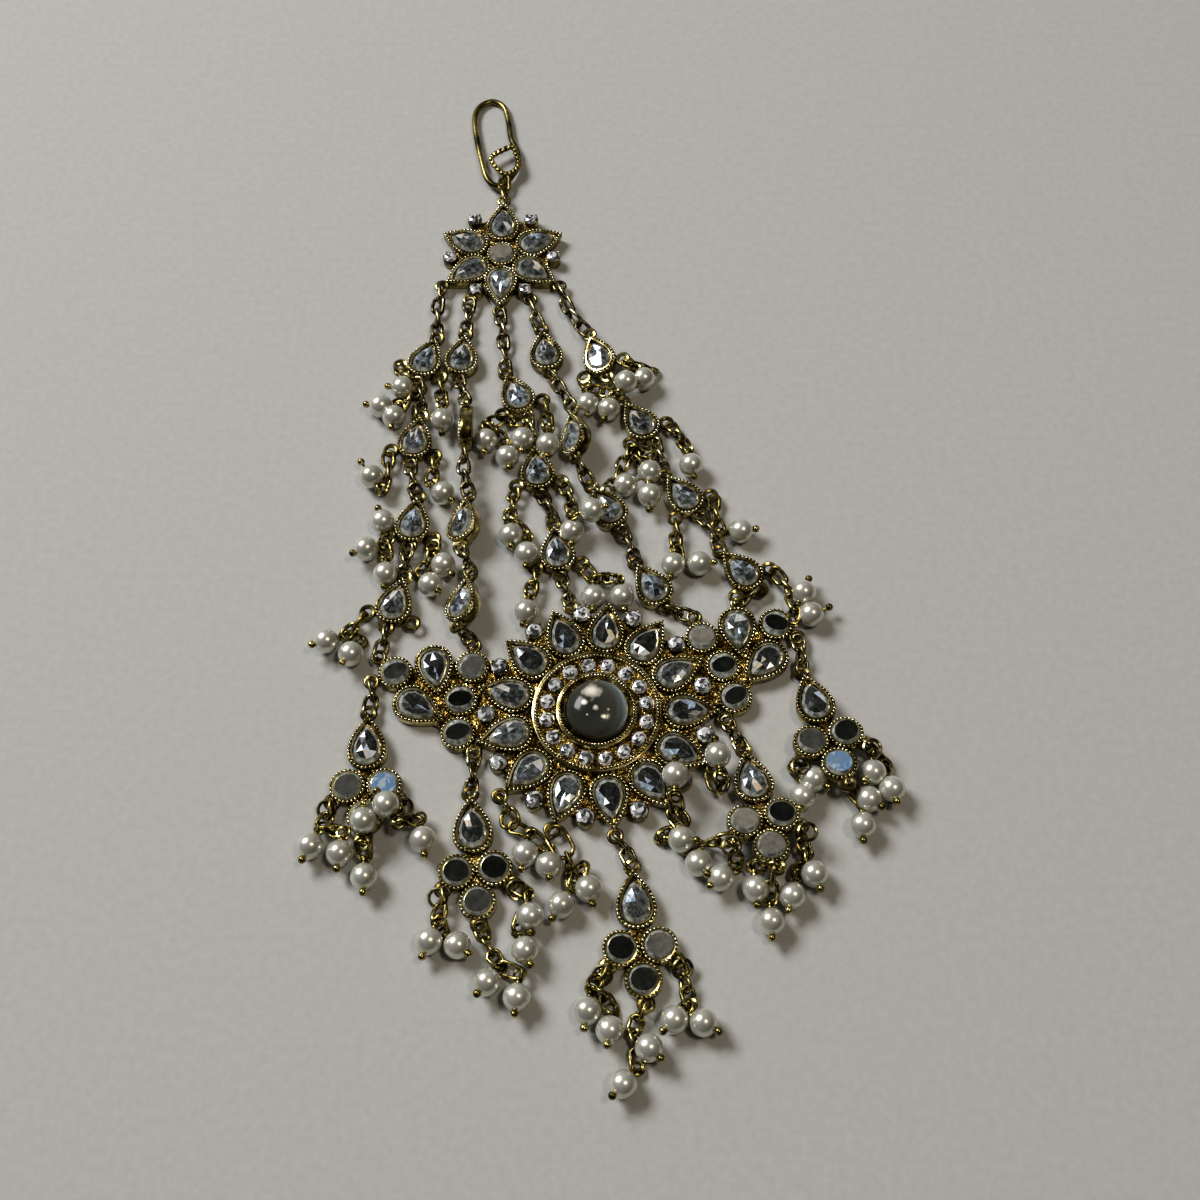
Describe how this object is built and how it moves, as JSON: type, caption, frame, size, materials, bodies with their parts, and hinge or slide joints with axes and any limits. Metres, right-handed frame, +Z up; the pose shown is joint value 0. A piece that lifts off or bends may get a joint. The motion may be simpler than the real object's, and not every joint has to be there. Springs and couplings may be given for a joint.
{
  "type": "jhoomar side hair ornament",
  "caption": "South Asian jhoomar hair ornament in antique gold with clear pear stones, small mirrors and pearl drops, hung from a wire hook.",
  "frame": {"origin": "middle of the medallion's flat back", "axes": "+Y towards the hook, along the length; +Z up from the flat back, out of the stones' face; +X to the right"},
  "size_m": [0.0902, 0.1847, 0.0069],
  "materials": {
    "gold": "polished",
    "antique_gold": "antique, polished edges and dark recesses",
    "stone": "faceted, foil backed",
    "pearl": "pearl lustre"
  },
  "bodies": {
    "root": {"hook": "gold", "hook_ring": "gold", "rosette": "antique_gold", "medallion": "antique_gold", "centre_stone": "stone", "petal_stone_01": "stone", "petal_stone_02": "stone", "petal_stone_03": "stone", "petal_stone_04": "stone", "petal_stone_05": "stone", "petal_stone_06": "stone", "petal_stone_07": "stone", "petal_stone_08": "stone", "petal_stone_09": "stone", "petal_stone_10": "stone", "petal_stone_11": "stone", "petal_stone_12": "stone", "petal_stone_13": "stone", "strand_1": "antique_gold", "strand_2": "antique_gold", "strand_3": "antique_gold", "strand_4": "antique_gold", "strand_5": "antique_gold", "drop_1": "antique_gold", "drop_2": "antique_gold", "drop_3": "antique_gold", "drop_4": "antique_gold", "drop_5": "antique_gold", "drop_stone_1": "stone", "drop_stone_2": "stone", "drop_stone_3": "stone", "drop_stone_4": "stone", "drop_stone_5": "stone", "fringe_1": "pearl", "fringe_2": "pearl", "fringe_3": "pearl", "fringe_4": "pearl"}
  },
  "joints": []
}
